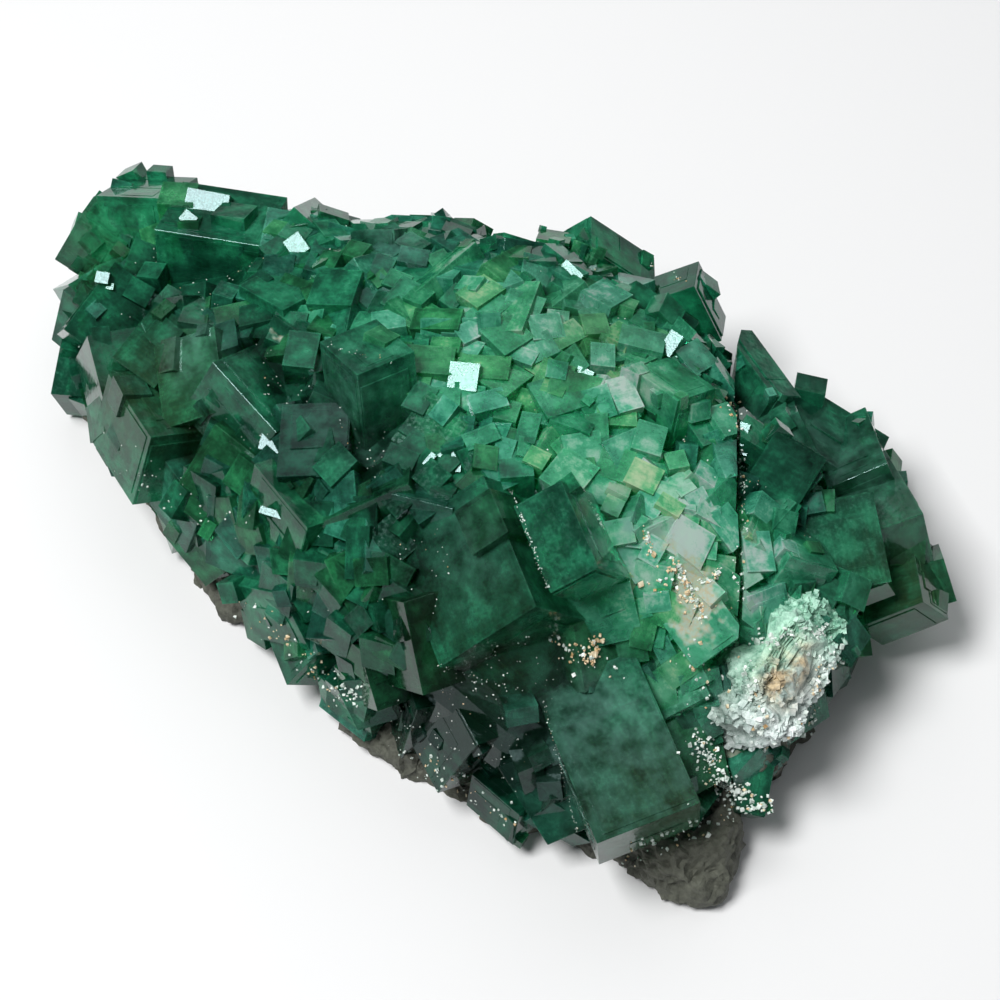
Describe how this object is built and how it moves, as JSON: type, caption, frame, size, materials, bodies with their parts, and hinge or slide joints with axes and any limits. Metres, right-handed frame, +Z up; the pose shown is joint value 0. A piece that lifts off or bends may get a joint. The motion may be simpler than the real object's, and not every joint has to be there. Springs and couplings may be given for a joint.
{
  "type": "fluorite crystal cluster",
  "caption": "Green fluorite cluster of intergrown cubes, large dark ones and small light ones, on brown-grey matrix with a quartz patch.",
  "frame": {"origin": "middle of the bounding box, at the height of the flat cut that the matrix rests on", "axes": "+X along the longest side, towards the end with the cleft and the quartz patch; +Y away from the side with the large square crystal; +Z up out of the flat cut"},
  "size_m": [0.16, 0.0951, 0.0527],
  "materials": {
    "green_fluorite": "gloss",
    "matrix_rock": "matte",
    "quartz_druse": "rough"
  },
  "bodies": {
    "root": {"fluorite_crust": "green_fluorite", "fluorite_right_group": "green_fluorite", "quartz_patch": "quartz_druse", "matrix_rock": "matrix_rock"}
  },
  "joints": []
}
